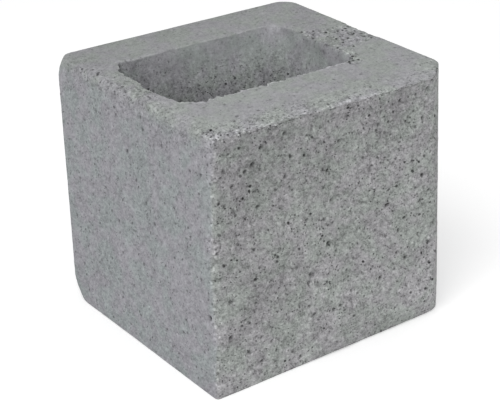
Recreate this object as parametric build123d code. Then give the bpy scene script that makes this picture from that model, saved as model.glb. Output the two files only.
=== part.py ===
from build123d import *
import math
import os

# A hollow concrete wall block of half length, standing on its bed, in millimetres.
# The length runs along X, the split face looks towards -Y and the block is stood on z = 0.
# The origin is at the middle of the length and depth, on the lower bed.

# Overall sizes
LENGTH = 200.0  # along the wall, end face to end face
HEIGHT = 190.0  # lower bed to upper bed
DEPTH = 206.0  # moulded back to the lip of the split face, which is foremost

# The core, a tapered hole from bed to bed, measured at the upper bed
WEB = 18.5  # half of the divided middle web, on the left
BACK_SHELL = 43.0
CORE_LENGTH = 142.5
CORE_WIDTH = 98.5
CORE_CORNER = 17.0
CORE_DRAFT = 0.8  # degrees on each wall, so that the core pulls out upwards
UPPER_RIM = 1.0  # wear on the rim of the core at the upper bed
LOWER_RIM = 0.6  # the same at the lower bed

# Moulded corners and arrises
END_CORNER = 13.0  # back corner at the end of the full block
SAWN_CORNER = 2.5  # back corner beside the divided web
ARRIS = 2.0  # round on the moulded edges of both beds

# Worn corners beside the divided web: their runs along X, Y and Z
UPPER_WEAR = (11.0, 13.0, 28.0)
LOWER_WEAR = (10.0, 15.0, 19.0)
WEAR_FLATNESS = 30.0  # the larger, the flatter the worn surface

# The trace that the mould's core bar leaves across the upper bed
BAR_WIDTH = 44.0
BAR_BEHIND = 1.5  # the bar lay a little behind the core's middle
BAR_DEPTH = 0.9
BAR_SLOPE = 2.0  # how far each side of the trace slopes in

# The split face, as distances behind its lip at the upper bed. The lip leans out under the
# bed, the middle is wavy and stepped, the toe falls back, and the break runs out at one end.
BREAK_LEFT = 8.2  # the middle heights, at the left border
BREAK_RIGHT = 12.5  # the same, towards the right
TOE_LEFT = 11.0  # the lower edge, at the left
TOE_RIGHT = 23.0  # the lower edge, at the right
LIP_REACH = 9.0  # height over which the lip falls away
LIP_SWEEP = 38.0  # height of the slower fall below it
TOE_REACH = 16.0  # height over which the toe falls back
RUN_OUT = 25.0  # how far back the break leaves the end face
RUN_OUT_SLOPE = 1.2  # its rise in plan, from the end face inwards
RUN_OUT_ROUND = 6.0  # how softly it turns into the face
WAVES = (
    # height of the wave, turns along X, turns along Z, turn at the corner
    (1.5, 1.30, 0.80, 0.10),
    (1.2, 0.70, -1.90, 0.33),
    (0.8, 2.30, 1.70, 0.64),
    (0.6, -3.10, 2.60, 0.20),
    (0.45, 5.20, -3.90, 0.52),
    (0.40, -4.30, -6.10, 0.15),
    (0.30, 7.10, 4.40, 0.81),
)
SHELVES = (
    # where the crack stepped from one level to another: from and to, as shares of the
    # length and height, how far the lower right side stands out, and the step's width
    ((0.36, 0.95), (0.08, 0.46), 2.2, 9.0, 34.0),
    ((0.62, 0.97), (0.52, 0.76), 1.6, 7.0, 16.0),
    ((0.40, 0.33), (0.60, 0.40), -1.3, 8.0, 22.0),
)


def shelf(along, up, start, end, rise, width, reach):
    """A step that runs from start to end and dies away beyond its reach on either side."""
    x, z = along * LENGTH, up * HEIGHT
    x0, z0, x1, z1 = start[0] * LENGTH, start[1] * HEIGHT, end[0] * LENGTH, end[1] * HEIGHT
    run = math.hypot(x1 - x0, z1 - z0)
    tx, tz = (x1 - x0) / run, (z1 - z0) / run
    ahead = (x - x0) * tx + (z - z0) * tz
    aside = (z - z0) * tx - (x - x0) * tz
    past = max(-ahead, ahead - run, 0.0)
    fade = math.exp(-((past / width) ** 2) - (aside / reach) ** 2)
    return rise * math.tanh(aside / width) * fade


def soft_least(a, b, softness):
    """The lesser of a and b, rounded over where they meet."""
    return (a + b - math.hypot(a - b, softness)) / 2


def recess(along, up):
    """Distance of the split face behind its lip, at a share of the length and height."""
    below_lip = (1 - up) * HEIGHT
    middle = BREAK_LEFT + (BREAK_RIGHT - BREAK_LEFT) * along
    lip = (math.exp(-below_lip / LIP_REACH) + math.exp(-below_lip / LIP_SWEEP)) / 2
    toe_depth = TOE_LEFT + (TOE_RIGHT - TOE_LEFT) * along
    toe = math.exp(-up * HEIGHT / TOE_REACH)
    depth = middle * (1 - lip) + (toe_depth - middle) * toe
    for rise, turns_along, turns_up, start in WAVES:
        wave = math.sin(2 * math.pi * (turns_along * along + turns_up * up + start))
        depth += rise * wave * (1 - lip) * (1 - toe)
    for step in SHELVES:
        depth -= shelf(along, up, *step) * (1 - lip) * (1 - toe)
    inward = (1 - along) * LENGTH
    standing = soft_least(RUN_OUT - depth, RUN_OUT_SLOPE * inward, RUN_OUT_ROUND)
    return RUN_OUT - standing


def split_surface(columns=41, rows=39, margin=0.04):
    """The whole break as one smooth surface, a little larger than the block."""
    grid = []
    for i in range(columns):
        along = -margin + (1 + 2 * margin) * i / (columns - 1)
        line = []
        for j in range(rows):
            up = -margin + (1 + 2 * margin) * j / (rows - 1)
            y = -DEPTH / 2 + recess(along, up)
            line.append(Vector((along - 0.5) * LENGTH, y, up * HEIGHT))
        grid.append(line)
    return Face.make_surface_from_array_of_points(grid, tol=0.05, min_deg=3, max_deg=3)


def worn_corner(corner, runs):
    """What wear takes off a corner: a small box less the ball that the worn surface lies on.

    The runs are signed, from the corner into the block, to where the ball meets each edge.
    """
    centre = [(run**2 + WEAR_FLATNESS**2) / (2 * run) for run in runs]
    radius = math.sqrt(sum(c**2 for c in centre) - WEAR_FLATNESS**2)
    outward = 2.0
    sizes = [abs(run) + outward for run in runs]
    middle = [(run - math.copysign(outward, run)) / 2 for run in runs]
    box = Pos(*corner) * Pos(*middle) * Box(*sizes)
    return box - Pos(*corner) * Pos(*centre) * Sphere(radius)


# The moulded body. In front it runs past the break, which takes that stock off.
spare = 12.0
body = extrude(
    Pos(0, -spare / 2) * Rectangle(LENGTH, DEPTH + spare),
    HEIGHT,
)
upright = body.edges().filter_by(Axis.Z).sort_by(Axis.Y)[-2:].sort_by(Axis.X)
body = fillet(upright[1], END_CORNER)
upright = body.edges().filter_by(Axis.Z).sort_by(Axis.X)[:2].sort_by(Axis.Y)
body = fillet(upright[-1], SAWN_CORNER)
beds = body.faces().sort_by(Axis.Z)
bed_edges = beds[0].edges() + beds[-1].edges()
moulded = [edge for edge in bed_edges if edge.center().Y > -DEPTH / 2 - spare / 2]
body = fillet(moulded, ARRIS)

# Wear on the two back corners beside the divided web
along, back, down = UPPER_WEAR
body -= worn_corner((-LENGTH / 2, DEPTH / 2, HEIGHT), (along, -back, -down))
along, back, up = LOWER_WEAR
body -= worn_corner((-LENGTH / 2, DEPTH / 2, 0), (along, -back, up))

# The core, wider at the upper bed, with the rims of both its mouths worn to a slope
core_x = -LENGTH / 2 + WEB + CORE_LENGTH / 2
core_y = DEPTH / 2 - BACK_SHELL - CORE_WIDTH / 2
core_outline = RectangleRounded(CORE_LENGTH, CORE_WIDTH, CORE_CORNER)
body -= extrude(Pos(core_x, core_y, HEIGHT) * core_outline, -HEIGHT, taper=CORE_DRAFT)
for bed, wear in ((Axis.Z, UPPER_RIM), (-Axis.Z, LOWER_RIM)):
    mouth = body.faces().sort_by(bed)[-1].inner_wires()[0]
    body = chamfer(mouth.edges(), wear)

# The core bar's trace: a shallow trough across the beds of both side walls
trough = Polygon(
    (-BAR_WIDTH / 2, BAR_DEPTH),
    (BAR_WIDTH / 2, BAR_DEPTH),
    (BAR_WIDTH / 2 - 2 * BAR_SLOPE, -BAR_DEPTH),
    (-BAR_WIDTH / 2 + 2 * BAR_SLOPE, -BAR_DEPTH),
    align=None,
)
bar = extrude(Plane.YZ * trough, LENGTH, both=True)
body -= Pos(0, core_y + BAR_BEHIND, HEIGHT) * bar

# The break takes off everything in front of it
split_off = extrude(split_surface(), RUN_OUT + 2 * spare, dir=(0, -1, 0))
block = body - split_off

os.makedirs("parts", exist_ok=True)
export_step(block, "parts/block.step")
print("block", round(block.volume / 1e6, 4), "litres", block.bounding_box())
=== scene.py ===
# %% [markdown]
# # A split-face concrete block
# The object is one casting: a half-length hollow wall block that was pressed in a mould,
# lifted out wet, cured, and then split from its neighbour by a guillotine along one side.
# So it has two kinds of skin. The moulded faces are flat, tight and finely sandy. The split
# face is torn stone: it leans, it has a lip, and every pore and grain of the mix shows in it.
# This lesson makes one closed surface for all of it, as a function of two parameters, and
# then gives that surface its relief and its finish.

# %% The frame
import math

import bpy
import numpy as np
from mathutils import Matrix, Vector


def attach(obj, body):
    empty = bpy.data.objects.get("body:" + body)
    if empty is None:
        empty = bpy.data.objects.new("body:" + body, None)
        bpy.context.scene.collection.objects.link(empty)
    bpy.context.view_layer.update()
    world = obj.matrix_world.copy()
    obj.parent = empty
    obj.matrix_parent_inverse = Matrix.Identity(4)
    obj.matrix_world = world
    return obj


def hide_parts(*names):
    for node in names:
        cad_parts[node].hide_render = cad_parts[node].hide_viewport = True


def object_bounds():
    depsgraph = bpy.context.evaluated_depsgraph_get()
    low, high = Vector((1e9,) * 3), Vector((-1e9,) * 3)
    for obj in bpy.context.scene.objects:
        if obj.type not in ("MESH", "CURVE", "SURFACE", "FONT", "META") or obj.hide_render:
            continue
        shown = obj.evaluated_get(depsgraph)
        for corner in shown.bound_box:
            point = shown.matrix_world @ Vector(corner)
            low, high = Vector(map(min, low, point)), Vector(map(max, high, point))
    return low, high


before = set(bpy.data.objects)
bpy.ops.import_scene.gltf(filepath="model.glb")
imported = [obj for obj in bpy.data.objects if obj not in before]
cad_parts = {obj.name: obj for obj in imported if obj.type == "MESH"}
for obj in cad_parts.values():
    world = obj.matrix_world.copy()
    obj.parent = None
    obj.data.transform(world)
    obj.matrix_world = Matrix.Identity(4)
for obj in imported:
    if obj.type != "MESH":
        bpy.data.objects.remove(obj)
cad_box = [list(corner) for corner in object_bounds()]
print("solid model spans, in metres:", cad_box)

# %% [markdown]
# ## The sizes
# Everything below is in millimetres until the mesh is written, because a mason thinks of a
# block in millimetres. These are the sizes of the solid part, so the surface fits over it.
# X runs along the wall, the split face looks towards -Y, and the block stands on z = 0.

# %% Sizes of the block
LENGTH, DEPTH, HEIGHT = 200.0, 206.0, 190.0
WEB, BACK_SHELL = 18.5, 43.0
CORE_LENGTH, CORE_WIDTH, CORE_CORNER = 142.5, 98.5, 17.0
CORE_DRAFT = 0.8  # degrees on each wall of the core
END_CORNER, SAWN_CORNER = 13.0, 2.5

half_l, half_d = LENGTH / 2, DEPTH / 2
rx, ry = CORE_LENGTH / 2, CORE_WIDTH / 2
core_x = -half_l + WEB + rx
core_y = half_d - BACK_SHELL - ry
core_narrowing = HEIGHT * math.tan(math.radians(CORE_DRAFT))
print("the core is centred on", core_x, core_y)

# %% [markdown]
# ## The line of the break
# A block doesn't split along a plane. The blade bites at the upper edge and leaves a lip
# there, the crack then dives in below it, wanders, steps from one level to another, and
# runs out towards the far end and the foot. That mean shape is one formula, the same as in
# the solid part: a lip that dies away with two different reaches, a toe that falls back,
# some waves and three steps, and a run-out that takes over near the end face. The crumbs
# and pores come later, on top of it.

# %% The mean shape of the break
BREAK_LEFT, BREAK_RIGHT = 8.2, 12.5
TOE_LEFT, TOE_RIGHT, TOE_REACH = 11.0, 23.0, 16.0
LIP_REACH, LIP_SWEEP = 9.0, 38.0
RUN_OUT, RUN_OUT_SLOPE, RUN_OUT_ROUND = 25.0, 1.2, 6.0
WAVES = (
    # height of the wave, turns along X, turns up Z, turn at the corner
    (1.5, 1.30, 0.80, 0.10),
    (1.2, 0.70, -1.90, 0.33),
    (0.8, 2.30, 1.70, 0.64),
    (0.6, -3.10, 2.60, 0.20),
    (0.45, 5.20, -3.90, 0.52),
    (0.40, -4.30, -6.10, 0.15),
    (0.30, 7.10, 4.40, 0.81),
)
SHELVES = (
    # from and to as shares of the length and height, rise, width of the step, reach aside
    ((0.36, 0.95), (0.08, 0.46), 2.2, 9.0, 34.0),
    ((0.62, 0.97), (0.52, 0.76), 1.6, 7.0, 16.0),
    ((0.40, 0.33), (0.60, 0.40), -1.3, 8.0, 22.0),
)


def shelf(x, z, start, end, rise, width, reach):
    """A step along a line: its rise times tanh of the distance aside, fading out beyond it."""
    x0, z0, x1, z1 = start[0] * LENGTH, start[1] * HEIGHT, end[0] * LENGTH, end[1] * HEIGHT
    run = math.hypot(x1 - x0, z1 - z0)
    tx, tz = (x1 - x0) / run, (z1 - z0) / run
    ahead = (x - x0) * tx + (z - z0) * tz
    aside = (z - z0) * tx - (x - x0) * tz
    past = np.maximum(np.maximum(-ahead, ahead - run), 0)
    return rise * np.tanh(aside / width) * np.exp(-((past / width) ** 2) - (aside / reach) ** 2)


def recess(x, z):
    """How far the break lies behind its lip.

    Middle depth times what the lip leaves, plus the toe, plus waves and steps that die at
    the lip and the toe; then the softened lesser of that and a slope from the end face.
    """
    along, up = x / LENGTH + 0.5, z / HEIGHT
    below = HEIGHT - z
    middle = BREAK_LEFT + (BREAK_RIGHT - BREAK_LEFT) * along
    lip = (np.exp(-below / LIP_REACH) + np.exp(-below / LIP_SWEEP)) / 2
    toe_depth = TOE_LEFT + (TOE_RIGHT - TOE_LEFT) * along
    toe = np.exp(-z / TOE_REACH)
    rough = 0
    for rise, turns_along, turns_up, start in WAVES:
        rough = rough + rise * np.sin(2 * np.pi * (turns_along * along + turns_up * up + start))
    for step in SHELVES:
        rough = rough - shelf(along * LENGTH, z, *step)
    depth = middle * (1 - lip) + (toe_depth - middle) * toe + rough * (1 - lip) * (1 - toe)
    a, b = RUN_OUT - depth, RUN_OUT_SLOPE * (1 - along) * LENGTH
    return RUN_OUT - (a + b - np.hypot(a - b, RUN_OUT_ROUND)) / 2


print("behind the lip at mid height:", recess(np.linspace(-99, 99, 5), HEIGHT / 2).round(1))

# %% [markdown]
# ## Two outlines, one round the other
# Seen from above, the block is one closed line inside another: the outer faces and the
# core. The first parameter of the surface, u, walks round both at once, so a spoke joins
# each place on the outside to its partner on the core. Each of the four sides is first
# drawn finely, and then walked in steps of a chosen size: short steps along the split face
# and the coarse strip on the end wall, where there is much to see, and long ones at the back.

# %% Walking round the block
def arc_points(cx, cy, radius, start, end, count=12):
    """Points on an arc: the centre plus the radius times cosine and sine of the angle."""
    a = np.radians(np.linspace(start, end, count))
    return np.stack([cx + radius * np.cos(a), cy + radius * np.sin(a)], axis=1)


def walk(points, steps):
    """Places along a drawn line, as columns: each (length, count) in steps is shared out evenly.

    The lengths are shares of the whole, so the same steps fit the inner and the outer line.
    """
    run = np.linalg.norm(np.diff(points[:, :2], axis=0), axis=1)
    run = np.concatenate([[0], np.cumsum(run)])
    marks = np.concatenate([[0], np.cumsum([length for length, _ in steps])])
    marks = marks / marks[-1] * run[-1]
    stretches = [
        np.linspace(start, end, count, endpoint=False)
        for start, end, (_, count) in zip(marks[:-1], marks[1:], steps)
    ]
    q = np.concatenate(stretches)
    return np.stack([np.interp(q, run, column) for column in points.T], axis=1)


# How each side is walked: stretches as (length, number of places), the lengths as shares
FRONT_STEPS = [(1, 172)]
END_STEPS = [(60, 12), (78, 46), (46, 8), (10, 4)]
BACK_STEPS = [(10, 4), (163, 15), (22, 7), (2, 2)]
WEB_STEPS = [(2, 2), (185, 118), (10, 10)]

# Third column: how much of the break's recess belongs to this place. It is 1 along the split
# face and fades to 0 along both end faces, so those faces end where the break does.
front = np.array([[-half_l, -half_d, 1], [half_l, -half_d, 1]])
near_back, near_end = half_d - END_CORNER, half_l - END_CORNER
sawn_back, sawn_end = half_d - SAWN_CORNER, SAWN_CORNER - half_l
arc = arc_points(near_end, near_back, END_CORNER, 0, 45)
end = np.vstack([[half_l, -half_d, 1], np.c_[arc, np.zeros(len(arc))]])
back = np.vstack([
    arc_points(near_end, near_back, END_CORNER, 45, 90),
    arc_points(sawn_end, sawn_back, SAWN_CORNER, 90, 135),
])
back = np.c_[back, np.zeros(len(back))]
arc = arc_points(sawn_end, sawn_back, SAWN_CORNER, 135, 180)
web = np.vstack([np.c_[arc, np.zeros(len(arc))], [-half_l, -half_d, 1]])
sides = ((front, FRONT_STEPS), (end, END_STEPS), (back, BACK_STEPS), (web, WEB_STEPS))
outer = np.vstack([walk(points, steps) for points, steps in sides])

# The core's corners, in order round it: the signs of x and y, and the angle its arc starts at
CORNERS = ((-1, -1, 180), (1, -1, 270), (1, 1, 0), (-1, 1, 90))
halves = []
for x_sign, y_sign, start in CORNERS:
    cx, cy = x_sign * (rx - CORE_CORNER), y_sign * (ry - CORE_CORNER)
    first = arc_points(cx, cy, CORE_CORNER, start, start + 45)
    second = arc_points(cx, cy, CORE_CORNER, start + 45, start + 90)
    halves.append((first, second))
inner = np.vstack([
    walk(np.vstack([halves[n][1], halves[(n + 1) % 4][0]]), steps)
    for n, (_, steps) in enumerate(sides)
])
print(len(outer), "places round the block")

# %% [markdown]
# The mouth of the core is worn wider than the core itself. It bulges where the web is thin,
# both back corners are pushed out, and the one beside the web has a notch broken out of it
# as well. All four are pushes on the inner line that die away downwards.

# %% The two lines at each height
MOUTH_REACH = 7.0  # how far down the pushes go
# For each push: how far, the distance over which it dies away along the line, and the place
WEB_BULGE, BULGE_HALF, BULGE_Y, BULGE_WIDTH = 2.0, 30.0, 4.0, 12.0
CORNER_PUSH, PUSH_HALF, PUSH_IN = (1.6, 2.6), 13.0, (8.0, 3.0)
NOTCH, NOTCH_HALF, NOTCH_IN = 3.6, 7.0, (8.0, 1.0)
END_PUSH, END_PUSH_HALF, END_PUSH_IN = 1.3, 13.0, (5.0, 5.0)


def near(distance, reach):
    """1 at no distance, easing to 0 at the reach."""
    t = np.clip(distance / reach, 0, 1)
    return 1 - t * t * (3 - 2 * t)


def between(value, start, end):
    """0 at start and 1 at end, straight between, and flat beyond them."""
    return np.clip((value - start) / (end - start), 0, 1)


def outer_at(z):
    """The outer line at each height: x as drawn, y as drawn plus its share of the recess."""
    x = outer[:, :1] + 0 * z
    return x, outer[:, 1:2] + outer[:, 2:] * recess(x, z)


def core_at(z):
    """The core's line at each height: drawn in by the draft, and pushed out near the mouth."""
    draw = core_narrowing * (1 - z / HEIGHT)
    worn = np.exp(-(HEIGHT - z) / MOUTH_REACH)
    x, y = inner[:, :1], inner[:, 1:]

    def from_corner(side, inset):
        """Distance from a place set in from the back corner on this side of the core."""
        return np.hypot(x - side * (rx - inset[0]), y - ry + inset[1])

    on_web = x < BULGE_WIDTH - rx
    bulge = WEB_BULGE * near(np.abs(core_y + y - BULGE_Y), BULGE_HALF) * on_web
    push = near(from_corner(-1, PUSH_IN), PUSH_HALF) * worn
    notch = NOTCH * near(from_corner(-1, NOTCH_IN), NOTCH_HALF) * worn
    end_push = END_PUSH * near(from_corner(1, END_PUSH_IN), END_PUSH_HALF) * worn
    x = core_x + x * (1 - draw / rx) - bulge * worn + CORNER_PUSH[0] * push + end_push
    y = core_y + y * (1 - draw / ry) + CORNER_PUSH[1] * push + notch + end_push
    return x, y


print("the mouth is", np.ptp(core_at(HEIGHT)[0]).round(1), "mm long")

# %% [markdown]
# ## The section through the wall
# The second parameter, v, walks once round the wall's section: up the outside, over the
# rounded upper arris, across the upper bed, over the rim, down the core, and back under
# the block. Each step is a height and a place on the spoke, given as a distance from the
# outer face, a distance from the core, or a share of the way between them.

# %% Walking round the section
ARRIS, RIM = 1.6, 1.2
BREAK_SHARPNESS = 0.6  # how much smaller the arris is along the break
OUTER_ROWS, ROUND_ROWS, BED_ROWS, CORE_ROWS, UNDER_ROWS = 152, 4, 40, 36, 5
CROWDING = 1.5  # over 1, the core's rows crowd towards its mouth


def turn(count):
    """Sine and one minus cosine over a quarter turn, without its last step."""
    a = np.linspace(0, np.pi / 2, count, endpoint=False)
    return np.sin(a), 1 - np.cos(a)


def section():
    """Rows of (height, distance in from the outer face, distance out from the core, share)."""
    s, v = turn(ROUND_ROWS)
    rows = []

    def add(*columns):
        rows.append(np.stack(np.broadcast_arrays(*columns), axis=1).astype(float))

    add(np.linspace(ARRIS, HEIGHT - ARRIS, OUTER_ROWS, endpoint=False), 0, 0, 0)
    add(HEIGHT - ARRIS + ARRIS * s, ARRIS * v, 0, 0)
    share = np.linspace(0, 1, BED_ROWS, endpoint=False)
    add(HEIGHT, ARRIS * (1 - share), RIM * share, share)
    add(HEIGHT - RIM * v, 0, RIM * (1 - s), 1)
    down = np.linspace(0, 1, CORE_ROWS, endpoint=False) ** CROWDING
    add(HEIGHT - RIM - (HEIGHT - 2 * RIM) * down, 0, 0, 1)
    add(RIM * (1 - s), 0, RIM * v, 1)
    share = np.linspace(1, 0, UNDER_ROWS, endpoint=False)
    add(0, ARRIS * (1 - share), RIM * share, share)
    add(ARRIS * v, ARRIS * (1 - s), 0, 0)
    return np.concatenate(rows)


rows = section()
z, from_outer, from_core, share = (rows[None, :, i] for i in range(4))
ox, oy = outer_at(z)
ix, iy = core_at(z)
spoke = np.hypot(ix - ox, iy - oy)
way = share + from_outer * (1 - BREAK_SHARPNESS * outer[:, 2:]) / spoke - from_core / spoke
grid = np.stack([ox + (ix - ox) * way, oy + (iy - oy) * way, z + 0 * ox], axis=2)
print(grid.shape, "grid, making", 2 * grid.shape[0] * grid.shape[1], "triangles")

# %% [markdown]
# ## Noise that stays put
# Concrete is random, but the lesson has to give the same block every time. So the noise is
# worked out from whole-number hashes of a lattice in space, not drawn from a generator.
# The first kind blends the hashed values at the eight corners of a cell. The second kind
# puts a ball at a hashed place in each cell, and asks how deep a point lies in one: a
# ball's depth makes a pore when it is taken away, and a grain when it is added.

# %% Hash, wandering noise and balls
def hashed(cell, seed):
    """A number from 0 to 1 for each lattice cell: its three indices multiplied and mixed."""
    i, j, k = (cell[..., n].astype(np.int64) for n in range(3))
    h = (i * 374761393 + j * 668265263 + k * 974634777 + seed * 1442695041) & 0xFFFFFFFF
    h = ((h ^ (h >> 13)) * 1274126177) & 0xFFFFFFFF
    h = ((h ^ (h >> 15)) * 668265263) & 0xFFFFFFFF
    return ((h ^ (h >> 16)) & 0xFFFFFF) / 0xFFFFFF


# A turned lattice, so that its planes don't line up with the flat faces
TILT = np.array([[0.36, 0.48, -0.80], [-0.80, 0.60, 0.00], [0.48, 0.64, 0.60]])


def wander(p, size, seed):
    """Smooth noise from -1 to 1: eight hashed corner values blended by a fifth-power ease."""
    q = p @ TILT / size + 0.37 * seed
    low = np.floor(q)
    t = q - low
    t = t**3 * (t * (t * 6 - 15) + 10)
    total = np.zeros(p.shape[:-1])
    for corner in np.ndindex(2, 2, 2):
        weight = np.prod(np.where(np.array(corner) == 1, t, 1 - t), axis=-1)
        total += weight * hashed(low + corner, seed)
    return 2 * total - 1


def heaped(p, *noises):
    """Noises added up, each given as its height, its size and its seed."""
    return sum(height * wander(p, size, seed) for height, size, seed in noises)


def layered(p, size, seed, layers=3, fade=0.55):
    """Noise over finer noise: each layer half the size and a fixed share of the height."""
    total, height, most = 0.0, 1.0, 0.0
    for n in range(layers):
        total = total + height * wander(p, size / 2**n, seed + 7 * n)
        most, height = most + height, height * fade
    return total / most


def balls(p, cell, share, least, most, seed):
    """Depth inside hashed balls, in millimetres, and how deep for their size, 0 to 1.

    A cell holds a ball if its hash is under the share. The depth is the root of the radius
    squared less the distance squared.
    """
    q = p / cell
    low = np.floor(q)
    depth = np.zeros(p.shape[:-1])
    ratio = np.zeros(p.shape[:-1])
    for step in np.ndindex(3, 3, 3):
        home = low + np.array(step) - 1
        centre = home + np.stack([hashed(home, seed + n) for n in (1, 2, 3)], axis=-1)
        radius = least + (most - least) * hashed(home, seed + 4) ** 2
        gap2 = np.sum((p - centre * cell) ** 2, axis=-1)
        inside = np.sqrt(np.maximum(radius**2 - gap2, 0)) * (hashed(home, seed) < share)
        depth = np.maximum(depth, inside)
        ratio = np.maximum(ratio, inside / radius)
    return depth, ratio


print("noise check:", wander(grid[:2, :2], 10.0, 1).round(3).tolist())

# %% [markdown]
# ## Soft arrises
# Handling has rounded the edges of the break, more in some places than in others. Rounding
# an edge needs only the two distances from its faces: where both are under the radius, the
# point is drawn in towards the arc's centre until it lies on the arc. The upright edge is
# rounder towards the top, the lip and the web's arris are crisper far from the corner that
# they share, and the last stretch of the lip, where the break runs out, is rounder again.

# %% Rounding the edges of the break
# For each edge, its usual radius and how far the noise changes it
UPRIGHT_RADIUS, LIP_RADIUS, WEB_RADIUS = (4.6, 1.6), (3.2, 1.8), (3.4, 1.6)
# By what share a radius grows or shrinks, and over what distance
UPRIGHT_GROWTH, GROWTH_REACH = 0.8, 42.0
LIP_CRISPER, WEB_CRISPER, CRISP_REACH = 0.6, 0.5, 45.0
LAST_STRETCH, LAST_REACH = 2.4, 9.0


def rounded(a, b, radius):
    """New distances from two faces: the offset from the arc's centre, cut to the radius."""
    da, db = radius - a, radius - b
    over = (da > 0) & (db > 0)
    far = np.hypot(da, db)
    keep = np.where(over & (far > radius), radius / np.maximum(far, 1e-9), 1)
    return np.where(over, radius - da * keep, a), np.where(over, radius - db * keep, b)


def soften(p):
    """Rounds the upright arris beside the web, then the lip, then the web's upper arris."""
    p = p.copy()
    uneven = layered(p, size=14.0, seed=5, layers=2)
    a, b = p[..., 0] + half_l, p[..., 1] + half_d - recess(p[..., 0], p[..., 2])
    radius = UPRIGHT_RADIUS[0] + UPRIGHT_RADIUS[1] * uneven
    radius = radius * (1 + UPRIGHT_GROWTH * near(HEIGHT - p[..., 2], GROWTH_REACH))
    new_a, new_b = rounded(a, b, radius)
    p[..., 0] += new_a - a
    p[..., 1] += new_b - b
    a, b = p[..., 1] + half_d - recess(p[..., 0], p[..., 2]), HEIGHT - p[..., 2]
    from_end = half_l - p[..., 0]
    radius = LIP_RADIUS[0] + LIP_RADIUS[1] * uneven
    radius = radius * (1 - LIP_CRISPER * near(from_end, CRISP_REACH))
    new_a, new_b = rounded(a, b, radius + LAST_STRETCH * near(from_end, LAST_REACH))
    p[..., 1] += new_a - a
    p[..., 2] -= new_b - b
    a, b = p[..., 0] + half_l, HEIGHT - p[..., 2]
    radius = WEB_RADIUS[0] + WEB_RADIUS[1] * uneven
    radius = radius * (1 - WEB_CRISPER * near(half_d - p[..., 1], CRISP_REACH))
    new_a, new_b = rounded(a, b, radius)
    p[..., 0] += new_a - a
    p[..., 2] -= new_b - b
    return p


grid = soften(grid)
print("softened grid spans", grid.min((0, 1)).round(1), "to", grid.max((0, 1)).round(1))

# %% [markdown]
# ## Where is what
# Before any relief, each point learns where it lies, as plain distances: how far behind
# the break, below the upper bed, from the core's rim, from the outer arris. A mask is then
# a distance and a reach. This keeps the relief free of seams, because two faces that meet
# read the same distances at their common edge.

# %% Distances and masks
BREAK_SKIN, BED_SKIN, WALL_SKIN = 3.4, 3.0, 1.0  # how deep each face's own skin goes
WALL_START, WALL_BLEND = 2.4, 2.0  # the core's wall begins this far below the bed
RIM_EDGE, LIP_EDGE, UPRIGHT_EDGE, ARRIS_EDGE = 5.0, 11.0, 9.0, 8.0  # how wide the edges crumble
SOUNDER = 0.8  # by this share less towards the far end of an edge
CALM, CALM_FOOT, CALM_END = 0.75, 9.0, 11.0  # the break is calmer at its foot and far end

x, y, z = grid[..., 0], grid[..., 1], grid[..., 2]
behind = y + half_d - recess(x, z)
below = HEIGHT - z
from_hole = (1 - way) * spoke
broken = near(behind, BREAK_SKIN)
upper = near(below, BED_SKIN)
core_wall = near(from_hole, WALL_SKIN) * near(WALL_START - below, WALL_BLEND)
rim_near = near(np.hypot(from_hole, below), RIM_EDGE)
lip_near = near(np.hypot(behind, below), LIP_EDGE)
lip_near = lip_near * (1 - SOUNDER * near(half_l - x, CRISP_REACH))
upright_near = near(np.hypot(x + half_l, behind), UPRIGHT_EDGE)
arris_near = near(np.hypot(x + half_l, below), ARRIS_EDGE)
arris_near = arris_near * (1 - SOUNDER * near(half_d - y, CRISP_REACH))
quiet = 1 - CALM * np.maximum(near(z, CALM_FOOT), near(half_l - x, CALM_END))
print("share of points on the break:", round(float((broken > 0.5).mean()), 3))

# %% [markdown]
# The mouth of the core isn't worn smooth: its line is bitten, a millimetre or two at a time.
# So the points near it are moved in plan only, along their spokes, and the line stays crisp.
# The bites are deepest along the front wall, and shallow where the web meets the back.

# %% A ragged mouth
STEPPED_BITE, FINE_BITE, USUAL_BITE = 0.9, 1.9, 0.3
BITE_STEEPNESS = 5.0
BITE_IN, BITE_DOWN = 7.0, 6.0  # how far across the bed and down the core the bites go
FRONT_RIM_Y = -39.0
WEB_BACK, WEB_BACK_REACH, WEB_BACK_LESS = (-80.0, 42.0), 34.0, 1.6

plan = grid * np.array([1.0, 1.0, 0.0])
bites = STEPPED_BITE * np.tanh(BITE_STEEPNESS * wander(plan, 7.0, 101))
bites = bites + FINE_BITE * wander(plan, 2.5, 103) + USUAL_BITE
from_web_back = np.hypot(x - WEB_BACK[0], y - WEB_BACK[1])
bites = bites - WEB_BACK_LESS * near(from_web_back, WEB_BACK_REACH)
bites = bites * near(from_hole, BITE_IN) * near(below, BITE_DOWN)
bites = bites * (0.7 + 0.6 * near(y - FRONT_RIM_Y, 40.0))
grid[..., 0] += bites * (ox - ix) / spoke
grid[..., 1] += bites * (oy - iy) / spoke
print("the mouth is bitten by up to", round(float(bites.max()), 1), "mm")

# %% [markdown]
# The bar that held the core in the mould crossed the end wall's bed. Where it lay, the mix
# was never pressed: it is bare, loose grain. The patch is wide beside the core, narrows to
# the outer arris, and its border wanders. Over the web the same bar has left only a few
# crumbs, so the patch is weak there.

# %% The coarse patch
PATCH_Y, PATCH_HALF = 8.0, 15.5  # the patch's middle and half its width, at the outer arris
CORE_SHIFT, CORE_EXTRA, NARROWING = -11.0, 24.0, 8.0  # what is added beside the core
PATCH_BLEND, BORDER_WANDER = 4.0, 3.5
WEB_PATCH_HALF, WEB_PATCH_BLEND, WEB_PATCH_STRENGTH = 24.0, 5.0, 0.45
OVER_WALLS = 0.42 * CORE_LENGTH  # the patch lies at least this far from the core's middle

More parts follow.
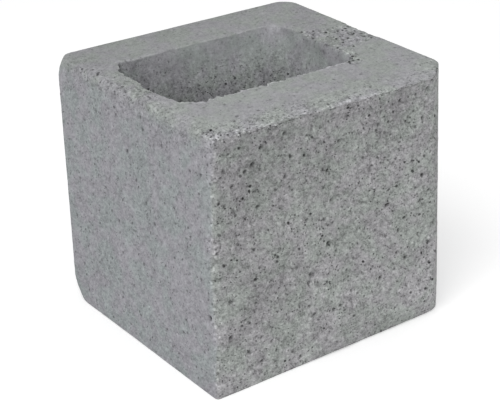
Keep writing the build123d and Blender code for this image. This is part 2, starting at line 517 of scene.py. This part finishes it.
border = BORDER_WANDER * layered(grid, size=9.0, seed=61, layers=2)
beside_core = np.exp(-np.maximum(x - core_x - rx, 0) / NARROWING)
from_middle = np.abs(y - (PATCH_Y + CORE_SHIFT * beside_core))
half_width = PATCH_HALF + CORE_EXTRA * beside_core
patch = near(np.maximum(from_middle - half_width + border, 0), PATCH_BLEND)
patch = patch * upper * (x - core_x > OVER_WALLS)
from_middle = np.abs(y - core_y)
web_patch = near(np.maximum(from_middle - WEB_PATCH_HALF + border, 0), WEB_PATCH_BLEND)
web_patch = WEB_PATCH_STRENGTH * web_patch * upper * (x - core_x < -OVER_WALLS)
patch = np.maximum(patch, web_patch)
print("share of points in the patch:", round(float((patch > 0.5).mean()), 4))

# %% [markdown]
# ## The relief
# The break gets lumps, packed grains and grit, and then pores cut by balls. The moulded
# faces get a faint waviness and a few small pores. Most pores are scattered by the hash, but
# the larger ones, which the eye finds first, each have a place of their own below: on the
# split face, on the divided web's face, and on the upper bed.

# %% Pores with a place of their own
PORES = (
    # along X and up Z on the split face, and the radius
    (-67.4, 163.0, 2.4), (-61.4, 174.0, 1.7), (-62.0, 131.0, 2.1), (-5.6, 141.4, 2.1),
    (-26.0, 158.6, 1.8), (-5.6, 88.0, 2.3), (-10.4, 107.6, 1.7), (44.6, 101.6, 2.0),
    (72.4, 117.6, 2.1), (59.0, 88.0, 1.9), (55.6, 78.4, 1.6), (39.4, 47.4, 2.0),
    (-87.4, 43.4, 2.0), (-76.4, 54.0, 1.7), (4.4, 37.4, 1.6), (-62.4, 16.6, 1.7),
    (-29.4, 8.4, 1.7), (-68.0, 103.0, 1.6), (42.6, 164.4, 1.8), (51.6, 177.4, 1.6),
    (74.0, 159.0, 1.9), (54.0, 62.0, 1.6), (-41.0, 147.0, 1.7), (-24.4, 111.0, 1.6),
    (-50.4, 186.3, 1.7), (-56.3, 185.8, 1.4), (-42.9, 178.5, 1.7), (-84.3, 152.4, 1.4),
    (-9.2, 130.1, 1.3), (-92.3, 161.2, 1.4),
)
WEB_PORES = (
    # along Y and up Z on the divided web, and the radius
    (-87.3, 60.0, 2.2), (9.0, 146.9, 2.2), (27.5, 88.1, 1.9), (-84.0, 160.8, 1.8),
    (-11.9, 178.0, 1.9), (-21.4, 103.7, 1.8), (-37.1, 165.5, 1.8), (-70.8, 159.1, 1.7),
    (56.0, 13.7, 1.8), (-51.5, 34.3, 1.8), (-13.5, 170.0, 1.8), (-12.4, 116.0, 1.7),
    (-63.0, 102.3, 1.7), (-56.4, 45.5, 1.7),
)
BED_PORES = (
    # along X and along Y on the upper bed, and the radius
    (76.3, -2.0, 2.0), (82.3, 18.0, 1.8), (87.8, 22.4, 1.7), (93.1, -1.9, 2.0),
    (84.8, -5.5, 2.0), (96.2, -8.0, 1.9), (66.2, -2.3, 1.6), (77.7, 2.1, 1.7),
    (81.4, 26.0, 1.5), (95.4, 4.4, 1.6), (88.6, 6.5, 1.6), (90.2, -10.1, 1.5),
    (23.3, -60.5, 1.4), (-93.5, -86.4, 1.8), (-47.9, -75.1, 1.8), (-90.4, -9.8, 1.6),
    (50.8, -43.4, 1.6), (54.2, -46.0, 1.4),
)


def with_pores(depth, ratio, pores, along, across, here):
    """Adds each pore's depth: the root of its radius squared less the distance squared."""
    for pore_along, pore_across, radius in pores:
        gap2 = (along - pore_along) ** 2 + (across - pore_across) ** 2
        deep = np.sqrt(np.maximum(radius**2 - gap2, 0)) * here
        depth = np.maximum(depth, deep)
        ratio = np.maximum(ratio, deep / radius)
    return depth, ratio


WEB_SKIN = 6.0  # how far in from the divided web's face its own skin goes
PORES_FADE, PORES_END = 50.0, 56.0  # nearer the back, the grid is too coarse for cast pores
pore_depth, pore_ratio = balls(grid, cell=9.5, share=0.55, least=1.3, most=2.2, seed=31)
pore_depth, pore_ratio = with_pores(pore_depth, pore_ratio, PORES, x, z, broken)
web_skin = near(x + half_l, WEB_SKIN)
speck_depth, speck_ratio = balls(grid, cell=8.5, share=0.34, least=0.8, most=1.5, seed=57)
speck_depth, speck_ratio = with_pores(speck_depth, speck_ratio, WEB_PORES, y, z, web_skin)
speck_depth, speck_ratio = with_pores(speck_depth, speck_ratio, BED_PORES, x, y, upper)
finely_drawn = between(y, PORES_END, PORES_FADE)
speck_depth, speck_ratio = speck_depth * finely_drawn, speck_ratio * finely_drawn
print("deepest pore:", round(float(pore_depth.max()), 1), "mm")

# %% [markdown]
# Each kind of skin has a relief of its own, and the masks choose between them. Crumbling is
# stronger noise that only acts near an edge and only takes away: most at the lip, less along
# the upright edge and where the core's rim meets the web, and least on the rest of the rim.

# %% Relief in millimetres along the normal
# Each noise is its height, its size and its seed, and each level is where that skin lies
LUMPS = ((0.45, 17.0, 3), (0.38, 7.5, 11))
GRIT = ((0.22, 3.4, 17), (0.18, 2.2, 23))
GRAIN_HEIGHT = 0.20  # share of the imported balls' depth that stands out
TORN_PORES, CAST_PORES = 0.8, 0.7  # share of the pores' depth that is cut
WAVINESS, CAST_GRIT = 0.16, (0.08, 2.6, 43)
BARE_GRIT = ((0.35, 3.6, 73), (0.25, 2.2, 79))
TORN_LEVEL, CAST_LEVEL, BARE_LEVEL = -0.55, -0.2, -0.7
CRUMB, FINE_CRUMB = 2.6, 1.5  # the most that coarse and fine crumbling take
CRUMB_SPREAD, FINE_SPREAD = 0.10, 0.25  # the higher, the more of an edge they reach
RIM_SHARE, RIM_SHARE_AT_WEB, WEB_SIDE = 0.12, 0.30, 26.0
UPRIGHT_SHARE, ARRIS_SHARE, LIP_SHARE = 0.36, 0.18, 0.80

packed_depth, _ = balls(grid, cell=4.4, share=0.60, least=1.3, most=2.6, seed=13)
grains = GRAIN_HEIGHT * packed_depth + heaped(grid, *GRIT)
torn = (heaped(grid, *LUMPS) + grains - TORN_PORES * pore_depth + TORN_LEVEL) * quiet
cast = WAVINESS * layered(grid, size=45.0, seed=41) + heaped(grid, CAST_GRIT) + CAST_LEVEL
bare = heaped(grid, *BARE_GRIT) + BARE_LEVEL
relief = cast + (torn - cast) * broken
relief = relief + (bare - relief) * patch - CAST_PORES * speck_depth * (1 - broken)

crumb = np.clip(layered(grid, size=8.0, seed=83) + CRUMB_SPREAD, 0, 1)
fine_crumb = np.clip(layered(grid, size=3.4, seed=89, layers=2) + FINE_SPREAD, 0, 1)
web_side = near(x + half_l, WEB_SIDE)
crumbling = rim_near * (RIM_SHARE + RIM_SHARE_AT_WEB * web_side) + UPRIGHT_SHARE * upright_near
crumbling = crumbling + ARRIS_SHARE * arris_near * (1 - upright_near) + LIP_SHARE * lip_near
relief = relief - (CRUMB * crumb + FINE_CRUMB * fine_crumb) * crumbling
print("relief from", round(float(relief.min()), 2), "to", round(float(relief.max()), 2), "mm")


def outward(surface):
    """Unit normals: the step along u crossed with the step along v, both wrapped round."""
    du = np.roll(surface, -1, 0) - np.roll(surface, 1, 0)
    dv = np.roll(surface, -1, 1) - np.roll(surface, 1, 1)
    normal = np.cross(du, dv)
    return normal / np.linalg.norm(normal, axis=2, keepdims=True)


block = grid + relief[..., None] * outward(grid)

# %% [markdown]
# ## Two worn corners
# The corners beside the divided web have lost a thumb's width to handling. Wear is round,
# so in the solid part a ball trims each corner. Here every point that lies outside the
# ball, within the corner, is drawn in to the ball along its radius, and the border of the
# worn place is blended, because wear has no edge.

# %% Worn corners
WEAR_FLATNESS = 30.0
WEAR_BLEND = 0.8
WEAR_BORDER = 0.6  # how far past its runs a worn corner fades out, as a share of them
WEAR_GRIT = (0.2, 3.0, 97)
WORN = (
    # the corner, the runs of the wear from it, and what the crumbs have left standing
    ((-half_l, half_d, HEIGHT), (11.0, -13.0, -28.0), 1.1),
    ((-half_l, half_d, 0.0), (10.0, -15.0, 19.0), 0.2),
)
for corner, runs, left_standing in WORN:
    corner, runs = np.array(corner), np.array(runs)
    centre = (runs**2 + WEAR_FLATNESS**2) / (2 * runs)
    radius = math.sqrt(np.sum(centre**2) - WEAR_FLATNESS**2)
    offset = block - corner - centre
    distance = np.linalg.norm(offset, axis=2)
    past = distance - radius - left_standing
    kept = (past - np.hypot(past, WEAR_BLEND)) / 2 + heaped(block, WEAR_GRIT)
    beyond = np.max(np.abs(block - corner) / np.abs(runs), axis=2) - 1.0
    shift = np.minimum(kept - past, 0) * near(beyond, WEAR_BORDER) * (past > -3 * WEAR_BLEND)
    block = block + offset * (shift / distance)[..., None]
    print("worn corner: deepest", round(float(-shift.min()), 1), "mm")

lo, hi = (np.array(corner) * 1000 for corner in cad_box)
block = np.clip(block, lo, hi)

# %% [markdown]
# ## The mesh
# The grid closes on itself both ways, so each place has a next place along u and along v
# and the faces follow from two rolled index tables. The masks go along as attributes of
# the points, so that the finish knows a pore from a grain and the break from a cast face.

# %% Writing the mesh
def closed_mesh(name, surface, masks):
    """A mesh of four-sided faces: each joins a point to its next ones along u, both, and v."""
    n_u, n_v = surface.shape[:2]
    index = np.arange(n_u * n_v).reshape(n_u, n_v)
    next_u, next_v = np.roll(index, -1, 0), np.roll(index, -1, 1)
    both = np.roll(next_u, -1, 1)
    faces = np.stack([index, next_u, both, next_v], axis=-1).reshape(-1, 4)
    mesh = bpy.data.meshes.new(name)
    mesh.vertices.add(n_u * n_v)
    mesh.vertices.foreach_set("co", (surface / 1000).astype(np.float32).ravel())
    mesh.loops.add(faces.size)
    mesh.loops.foreach_set("vertex_index", faces.ravel().astype(np.int32))
    mesh.polygons.add(len(faces))
    mesh.polygons.foreach_set("loop_start", np.arange(0, faces.size, 4, dtype=np.int32))
    mesh.polygons.foreach_set("use_smooth", np.ones(len(faces), dtype=bool))
    for mask_name, values in masks.items():
        layer = mesh.attributes.new(mask_name, "FLOAT", "POINT")
        layer.data.foreach_set("value", np.ascontiguousarray(values, dtype=np.float32).ravel())
    mesh.update(calc_edges=True)
    mesh.validate()
    return mesh


# %% [markdown]
# ## How coarse and how light
# Two masks set the finish. The first says how coarse the skin is: least on the bed and in the
# core's mouth, more on the break and in the patch, and most along the front of the bed, just
# behind the lip. The second says how light the skin is painted. It is 1 but for broad clouds,
# lighter or darker than the rest, which the eye takes in before any grain, and for slow drifts:
# along the bed, up the break and the web, and down the core. On the break and in the core, most
# of these are painted light and painted shade.

# %% How coarse the skin is
FRONT_BED = 34.0  # how far behind the break the bed is still rough
WEB_TOP = 17.0  # how far from the web's upper arris it is
CAST_COARSE, BROKEN_COARSE, PATCH_COARSE = 0.64, 1.05, 0.8

# The bed behind the lip, roughest from the web to x = -40 and fading to x = 50
front_bed = upper * near(behind, FRONT_BED) * (0.45 + 0.65 * near(x + 40, 90.0))
# The core's wall: fine at its mouth, coarser further down and towards the web
in_mouth = 0.40 + 0.70 * between(below, 10.0, 40.0) + 0.40 * near(x + 70, 45.0)
# The web's upper arris, less towards the back
web_top = near(np.hypot(x + half_l - 4, below), WEB_TOP) * (1 - 0.8 * near(half_d - y, 60.0))
coarse = CAST_COARSE + (in_mouth - CAST_COARSE) * core_wall - 0.24 * upper
coarse = coarse + 0.95 * front_bed + 0.42 * web_top
coarse = coarse + (BROKEN_COARSE - coarse) * np.maximum(broken, PATCH_COARSE * patch)
print("coarseness from", coarse.min().round(2), "to", coarse.max().round(2))

# %% How light the skin is painted, with painted light and painted shade
# Painted shade and painted light on the break: darker in its upper part under the overhangs and
# in hollows, lighter near its foot
TORN_LIGHT_AND_SHADE = (
    # along X and up Z on the split face, how far it reaches, and how much lighter
    (-66.0, 150.0, 60.0, -0.18), (52.0, 168.0, 38.0, -0.10), (0.0, 100.0, 50.0, -0.06),
    (-72.0, 80.0, 56.0, -0.17), (-6.0, 152.0, 25.0, -0.12), (14.0, 170.0, 24.0, -0.05),
    (-8.0, 48.0, 20.0, 0.20), (78.0, 18.0, 34.0, 0.20), (-26.0, 3.0, 32.0, 0.18),
)
# Lighter and darker clouds anywhere on the skin; those on the core's back wall are painted light
# and painted shade.
CLOUDS_WITH_PAINTED_LIGHT_AND_SHADE = (
    # the same anywhere on the skin: along X, along Y and up Z, reach, and how much lighter
    (75.0, -90.0, 179.0, 34.0, 0.15), (-100.0, 97.0, 8.0, 34.0, -0.13),
    (-98.0, 100.0, 176.0, 24.0, 0.10), (54.0, 57.0, 183.0, 18.0, 0.13),
    (34.0, 60.0, 160.0, 19.0, 0.20), (38.0, 60.0, 146.0, 17.0, 0.09),
    (54.0, 56.0, 155.0, 15.0, -0.10), (-44.0, 60.0, 176.0, 20.0, 0.12),
    (63.0, 5.0, 190.0, 17.0, -0.16), (42.0, 60.0, 174.0, 13.0, 0.10),
    (-22.0, 60.0, 150.0, 17.0, -0.14), (78.0, 80.0, 190.0, 40.0, 0.05),
)
light = np.ones(x.shape)
for cx, cz, reach, lighter in TORN_LIGHT_AND_SHADE:
    light += lighter * broken * near(np.hypot(x - cx, z - cz), reach)
for *centre, reach, lighter in CLOUDS_WITH_PAINTED_LIGHT_AND_SHADE:
    light += lighter * near(np.linalg.norm(grid - centre, axis=2), reach)

# On the break: a painted shadow band under the lip, painted floor light towards the foot, and
# painted light at the far end, where its edge turns away from the light
light -= 0.10 * broken * near(np.abs(below - 10), 8.0) * near(x - 20, 40.0)
light += 0.13 * broken * (1 - z / HEIGHT) + 0.16 * broken * near(half_l - x, 7.0)
# On the bed: darker towards the back, a little less so beside the web
light -= upper * (0.115 * between(y, -20.0, 90.0) - 0.01 * near(x + half_l, 70.0))
# In the core: a band of painted light on the far part, and painted shade at the web, in the
# corner beside it and low down
corner_shadow = near(np.hypot(x + 75, y - 59), 13.0) * near(below, 8.0)
painted_wall_light = 0.12 * near(np.abs(below - 26), 26.0) * between(x, -45.0, 5.0)
painted_wall_shade = 0.65 * corner_shadow + 0.27 * near(x + 81, 95.0) + 0.11 * between(below, 22.0, 42.0)
light += core_wall * (painted_wall_light - painted_wall_shade)
# On the web's face: lighter towards the foot
web_face = web_skin * (1 - broken) * (1 - upper)
light += 0.10 * web_face * (0.45 - z / HEIGHT)
# Along the core's rim: rubbed pale, most on the front wall
rim_line = near(np.hypot(from_hole, 2 * below), 2.8)
rim_glow = 0.10 + 0.32 * near(np.abs(y - FRONT_RIM_Y), 30.0) + 0.18 * near(x + 86, 12.0)
light += rim_line * rim_glow * (0.5 + fine_crumb)
print("lightness from", light.min().round(2), "to", light.max().round(2))

# %% [markdown]
# Three more masks: pale crumbs that stand on the edges, with a painted highlight along the lip,
# the tight skin that the steel of the mould left on the faces it touched, and the pores, deep at
# their middles, which carry painted shade.

# %% The skin
RIM_CRUMBS = 3.5  # how wide the crumbs lie along the core's rim

# Along the lip the pale crumbs are partly a painted highlight on its arris.
lip_crumbs_and_highlight = 1.5 * lip_near * near(x - 20, 50.0)
edge_crumbs_and_highlight = np.maximum(lip_crumbs_and_highlight, upright_near) * (0.2 + fine_crumb)
rim_crumb = near(np.hypot(from_hole, 2 * below), RIM_CRUMBS) * (0.4 + 0.6 * between(y, 40.0, 0.0))
edge_crumbs_and_highlight = np.maximum(edge_crumbs_and_highlight, rim_crumb * (0.3 + 0.9 * fine_crumb))
steel = np.clip(1 - broken - near(below, BED_SKIN + 9.0 * web_side), 0, 1)
steel = steel * (1 - core_wall * (0.5 + 0.5 * between(below, 12.0, 42.0)))
masks = {
    "open": coarse,
    "light": light,
    "steel": steel,
    "bare": patch,
    "torn": broken,
    # painted shade in the pores, darkest at their middles
    "pore": np.maximum(pore_ratio * broken, speck_ratio * (1 - broken)),
    "pale": edge_crumbs_and_highlight,
    "core": core_wall,
}
mesh = closed_mesh("block_skin", block, masks)
skin = bpy.data.objects.new("block_skin", mesh)
bpy.context.scene.collection.objects.link(skin)
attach(skin, "root")
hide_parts("block")
print(len(mesh.polygons), "faces in the skin")

# %% [markdown]
# ## The finish
# Concrete is cement paste with sand in it. From arm's length it is a grey that never
# repeats: cloudy over a hand's width, mottled over a fingertip, sandy at a millimetre, with
# pinholes that shade makes black and a few pale grains. Each of these is one line of
# arithmetic below, and the pinholes' shade is painted shade. The small class turns such
# arithmetic on sockets into Math nodes.

# %% Arithmetic on shader sockets
class Value:
    """A number that varies over the surface. Arithmetic on it adds Math nodes to its tree."""

    def __init__(self, shop, socket):
        self.shop, self.socket = shop, socket

    def _math(self, operation, *parts, clamp=False):
        settings = {"operation": operation, "use_clamp": clamp}
        return self.shop.node("ShaderNodeMath", settings, dict(enumerate(parts)))

    def __add__(self, other):
        return self._math("ADD", self, other)

    def __sub__(self, other):
        return self._math("SUBTRACT", self, other)

    def __rsub__(self, other):
        return self._math("SUBTRACT", other, self)

    def __mul__(self, other):
        return self._math("MULTIPLY", self, other)

    __radd__, __rmul__ = __add__, __mul__

    def most(self, other):
        return self._math("MAXIMUM", self, other)

    def ramp(self, start, end):
        """0 at start and 1 at end, straight between: the value less start, over the span."""
        return self._math("MULTIPLY", self - start, 1 / (end - start), clamp=True)


class Workshop:
    """A node tree, and the one way nodes are put in it."""

    def __init__(self, owner):
        owner.use_nodes = True
        self.tree = owner.node_tree
        self.tree.nodes.clear()

    def node(self, kind, settings=None, sockets=None, out=0):
        """Adds a node: its settings first, then a value or a link for each named socket."""
        made = self.tree.nodes.new(kind)
        for key, setting in (settings or {}).items():
            setattr(made, key, setting)
        for key, value in (sockets or {}).items():
            if isinstance(value, Value):
                self.tree.links.new(value.socket, made.inputs[key])
            else:
                made.inputs[key].default_value = value
        return Value(self, made.outputs[out]) if made.outputs else None

    def noise(self, place, scale, detail=2.0, roughness=0.55):
        """Noise around a half, at this many features to the metre."""
        sockets = {"Vector": place, "Scale": scale, "Detail": detail, "Roughness": roughness}
        return self.node("ShaderNodeTexNoise", {}, sockets, "Fac")

    def cells(self, place, scale, out):
        """Scattered points at this many to the metre: the gap to the nearest, or its colour."""
        sockets = {"Vector": place, "Scale": scale, "Randomness": 1.0}
        return self.node("ShaderNodeTexVoronoi", {}, sockets, out)

    def channel(self, colour, name):
        """One channel of a colour, which is a random number where the colour is random."""
        return self.node("ShaderNodeSeparateColor", {}, {0: colour}, name)

    def mask(self, name):
        """One of the masks that the mesh carries."""
        return self.node("ShaderNodeAttribute", {"attribute_name": name}, {}, "Fac")

    def mix(self, share, first, second):
        """From the first colour to the second by the share."""
        sockets = {"Factor": share, 6: first, 7: second}
        return self.node("ShaderNodeMix", {"data_type": "RGBA"}, sockets, 2)

    def vector(self, operation, first, second, out=0):
        """A Vector Math node on two places or directions."""
        sockets = {0: first, 1: second}
        return self.node("ShaderNodeVectorMath", {"operation": operation}, sockets, out)

    def scale(self, colour, amount):
        """A colour or a direction times a number."""
        sockets = {0: colour, "Scale": amount}
        return self.node("ShaderNodeVectorMath", {"operation": "SCALE"}, sockets)

    def draw_out(self, place, direction, share):
        """A place less a share of its run along a direction: a pattern is longer that way."""
        run = self.vector("DOT_PRODUCT", place, direction, "Value")
        return self.vector("SUBTRACT", place, self.scale(direction, run * share))

    def bend(self, place, scale, amount):
        """A place moved by three noises at once, so that round spots on it turn ragged."""
        noise = self.node("ShaderNodeTexNoise", {}, {"Vector": place, "Scale": scale}, "Color")
        noise = self.vector("SUBTRACT", noise, (0.5, 0.5, 0.5))
        return self.vector("ADD", place, self.scale(noise, amount))


def grey(red, green, blue):
    """A colour from its 0 to 255 screen values, in linear light."""
    channels = [v / 255 for v in (red, green, blue)]
    return (*[((v + 0.055) / 1.055) ** 2.4 for v in channels], 1.0)


# %% [markdown]
# All the patterns are drawn out a little along one direction that is fixed in the block. It
# is the one in which the photo looks at it, and it doesn't follow the camera. It makes the
# specks on the three faces that the photo shows come out about as long as wide there.
#
# The pores are a Voronoi pattern: the distance to the nearest of many scattered points,
# cut off at a pinhole's radius, and kept only for the points whose own random colour is
# high. They carry painted shade, the shade that falls into a hole. The same pattern, looser
# and brighter, gives the pale grains. On the cast faces the mould has drawn the pinholes out
# upwards as it lifted, and in the core it has left faint upright streaks.

# %% The concrete finish
GRAIN_RUN, GRAIN_STRETCH = (0.498, 0.765, -0.409), 0.40
STREAK, DASH = (1.0, 1.0, 0.08), (1.0, 1.0, 0.75)  # how upright streaks and pinholes are
SPOT_MIDDLE = 0.55  # share of a spot's radius that is its full strength
FAINT_SHARE = 0.04  # share of the points whose spots are fainter than the rest
# Painted shade: the middles of holes and pores are painted darker
HOLE_SHADE = 0.88  # how much darker the middle of a hole is than the skin round it
# A greener and a redder tint of each grey, which the noise mixes
CAST_GREYS = ((150, 155, 156), (154, 153, 158))
BED_GREYS = ((151, 155, 152), (153, 153, 156))
TORN_GREYS = ((147, 151, 148), (150, 149, 151))

concrete = bpy.data.materials.new("block_concrete")
shop = Workshop(concrete)
place = shop.draw_out(shop.node("ShaderNodeTexCoord", out="Object"), GRAIN_RUN, GRAIN_STRETCH)


def scattered(place, scale, radius, keep):
    """1 inside round spots of this radius, as a share of the spacing, for the kept share."""
    spot = shop.cells(place, scale, "Distance").ramp(radius, SPOT_MIDDLE * radius)
    lot = shop.channel(shop.cells(place, scale, "Color"), "Red")
    return spot * lot.ramp(1 - keep, 1 + FAINT_SHARE - keep)


names = ("open", "light", "steel", "torn", "pore", "pale", "core", "bare")
openness, painted_light_and_tone, steel, on_break, pore_shade, pale_edge_and_highlight, in_core, is_bare = map(shop.mask, names)
cloud = shop.noise(place, 22.0, detail=3.0) - 0.5
streaks = shop.noise(shop.vector("MULTIPLY", place, STREAK), 260.0, detail=1.0) - 0.5
tint = shop.noise(place, 60.0).ramp(0.4, 0.6)
MIX_SCALES = (130.0, 270.0, 540.0, 1100.0)  # features to the metre, from lumps to sand
lumpy, mottled, grainy, sandy = (shop.noise(place, scale, 0.0) - 0.5 for scale in MIX_SCALES)
bent = shop.bend(place, scale=300.0, amount=0.0018)
fleck = shop.channel(shop.cells(bent, 640.0, "Color"), "Green") - 0.5

# Spots painted dark with the shade that falls into holes: round pits at three sizes, upright
# dashes in the tight skin, gaps in the patch
pits = scattered(bent, 170.0, 0.23, 0.38).most(0.88 * scattered(bent, 300.0, 0.25, 0.45))
pits = pits.most(0.75 * scattered(bent, 480.0, 0.30, 0.45)) * openness * (1 - 0.35 * steel)
upright_dashes = scattered(shop.vector("MULTIPLY", bent, DASH), 230.0, 0.22, 0.45)
dashes = upright_dashes.most(scattered(bent, 420.0, 0.26, 0.3)) * steel
gaps = scattered(bent, 290.0, 0.38, 0.50) * is_bare
crowd = 0.55 + 0.45 * shop.noise(place, 48.0).ramp(0.38, 0.60)

# Pale spots: grains everywhere, and crumbs along the edges, partly a painted highlight along the
# lip, and in the patch
pale = scattered(bent, 360.0, 0.42, 0.16)
crumbs = scattered(bent, 440.0, 0.55, 0.6) * pale_edge_and_highlight.most(0.5 * is_bare)

# The tone multiplies the grey: first what makes it vary, then the painted light and shade of
# the light mask, and the painted shade in pits, dashes, pores and gaps
mix_tone = 0.28 * lumpy + 0.57 * mottled + 0.60 * grainy + 0.74 * sandy + 0.28 * fleck
tone = 1 + 0.20 * cloud + 0.30 * in_core * streaks + openness * (mix_tone + 0.30 * pale)
tone = tone + 0.06 * pale_edge_and_highlight + 0.80 * crumbs
tone = tone * painted_light_and_tone * (1 - HOLE_SHADE * crowd * pits) * (1 - 0.50 * dashes)
# Painted shade in the mesh's pores
tone = tone * (1 - HOLE_SHADE * pore_shade * pore_shade)
# Painted light: the core's wall is painted lighter. Painted shade in the patch's gaps.
tone = tone * (1 + 0.19 * in_core - 0.08 * is_bare) * (1 - HOLE_SHADE * gaps)

cast_grey, bed_grey, torn_grey = (
    shop.mix(tint, grey(*greener), grey(*redder))
    for greener, redder in (CAST_GREYS, BED_GREYS, TORN_GREYS)
)
colour = shop.mix(on_break, shop.mix(steel, bed_grey, cast_grey), torn_grey)
colour = shop.scale(colour, tone)

bumpiness = openness * (0.4 + 0.6 * on_break.most(steel))
height = bumpiness * (0.2 * mottled + 0.5 * grainy + 0.6 * sandy) - 0.9 * pits - 0.6 * dashes
sockets = {"Strength": 0.8, "Distance": 0.0005, "Height": height}
bump = shop.node("ShaderNodeBump", {}, sockets, "Normal")
surface = shop.node("ShaderNodeBsdfPrincipled", {}, {
    "Base Color": colour,
    "Roughness": 0.9 + 0.08 * sandy,
    "Normal": bump,
    "Specular IOR Level": 0.25,
})
shop.node("ShaderNodeOutputMaterial", {}, {"Surface": surface})
mesh.materials.append(concrete)
print(len(shop.tree.nodes), "nodes in the concrete finish")

# %% [markdown]
# ## The studio
# The block stands on a pale floor under plain soft light: an even surround, a wide lamp
# above and to the left that reaches into the core, and a weak one low in front. To the
# camera and to reflections the surround is white and the floor glows a little. As light it
# is dimmer, so the background is clean, the block isn't washed out, and the floor keeps its
# shadow.

# %% Floor and surround
WORLD_LIGHT = 0.60
FLOOR_GLOW, FLOOR_PALE, FLOOR_REACH = 0.3, 0.88, 6.0
WHITE = (1.0, 1.0, 1.0, 1.0)


def seen_directly(studio):
    """1 for a ray from the camera, or one that a reflection or a clear body sends on."""
    camera = studio.node("ShaderNodeLightPath", out="Is Camera Ray")
    glossy = studio.node("ShaderNodeLightPath", out="Is Glossy Ray")
    passing = studio.node("ShaderNodeLightPath", out="Is Transmission Ray")
    return camera.most(glossy).most(passing)


floor_mesh = bpy.data.meshes.new("floor")
floor_signs = ((-1, -1), (1, -1), (1, 1), (-1, 1))
floor_corners = [(sx * FLOOR_REACH, sy * FLOOR_REACH, 0) for sx, sy in floor_signs]
floor_mesh.from_pydata(floor_corners, [], [(0, 1, 2, 3)])
floor = bpy.data.objects.new("floor", floor_mesh)
bpy.context.scene.collection.objects.link(floor)

floor_white = bpy.data.materials.new("floor_white")
studio = Workshop(floor_white)
pale_grey = (FLOOR_PALE, FLOOR_PALE, FLOOR_PALE, 1.0)
plain = studio.node("ShaderNodeBsdfDiffuse", {}, {"Color": pale_grey})
strength = seen_directly(studio) * FLOOR_GLOW
glow = studio.node("ShaderNodeEmission", {}, {"Color": WHITE, "Strength": strength})
both = studio.node("ShaderNodeAddShader", {}, {0: plain, 1: glow})
studio.node("ShaderNodeOutputMaterial", {}, {"Surface": both})
floor_mesh.materials.append(floor_white)

world = bpy.data.worlds.new("surround")
bpy.context.scene.world = world
studio = Workshop(world)
strength = WORLD_LIGHT + (1 - WORLD_LIGHT) * seen_directly(studio)
sky = studio.node("ShaderNodeBackground", {}, {"Color": WHITE, "Strength": strength})
studio.node("ShaderNodeOutputWorld", {}, {"Surface": sky})
print("the floor is", 2 * FLOOR_REACH, "m wide")

# %% Lamps
def soft_lamp(name, place, size, watts):
    """A square area lamp at a place, turned to face the middle of the block."""
    lamp = bpy.data.lights.new(name, "AREA")
    lamp.size, lamp.energy = size, watts
    holder = bpy.data.objects.new(name, lamp)
    holder.location = place
    aim = Vector((0, 0, 0.1)) - holder.location
    holder.rotation_euler = aim.to_track_quat("-Z", "Y").to_euler()
    bpy.context.scene.collection.objects.link(holder)
    print(name, "stands", round(aim.length, 2), "m away")


soft_lamp("key", place=(-1.2, -1.0, 2.0), size=1.2, watts=28.0)
soft_lamp("fill", place=(0.9, -1.4, 0.25), size=1.0, watts=2.4)

# %% [markdown]
# The camera was worked out from the straight moulded edges in the photo: a long lens, six
# tenths of a metre up and a metre and a quarter away, turned a little about its own axis.

# %% Camera
LENS, SENSOR = 128.46, 36.0  # millimetres
CAMERA_PLACE = (-0.63861, -0.96926, 0.60639)
# In degrees: the heading from +Y towards +X, the dip below level, the turn about its axis
HEADING, DIP, ROLL = 33.0477, 24.1292, -2.2341

camera_data = bpy.data.cameras.new("camera")
camera_data.lens, camera_data.sensor_width = LENS, SENSOR
camera_data.clip_start, camera_data.clip_end = 0.01, 50.0
camera = bpy.data.objects.new("camera", camera_data)
bpy.context.scene.collection.objects.link(camera)
headed = Matrix.Rotation(math.radians(-HEADING), 4, "Z")
dipped = Matrix.Rotation(math.radians(90 - DIP), 4, "X")
rolled = Matrix.Rotation(math.radians(ROLL), 4, "Z")
camera.matrix_world = Matrix.Translation(CAMERA_PLACE) @ headed @ dipped @ rolled
bpy.context.scene.camera = camera
bpy.context.scene.view_settings.view_transform = "Standard"
print("the camera stands", round(Vector(CAMERA_PLACE).length, 2), "m from the origin")
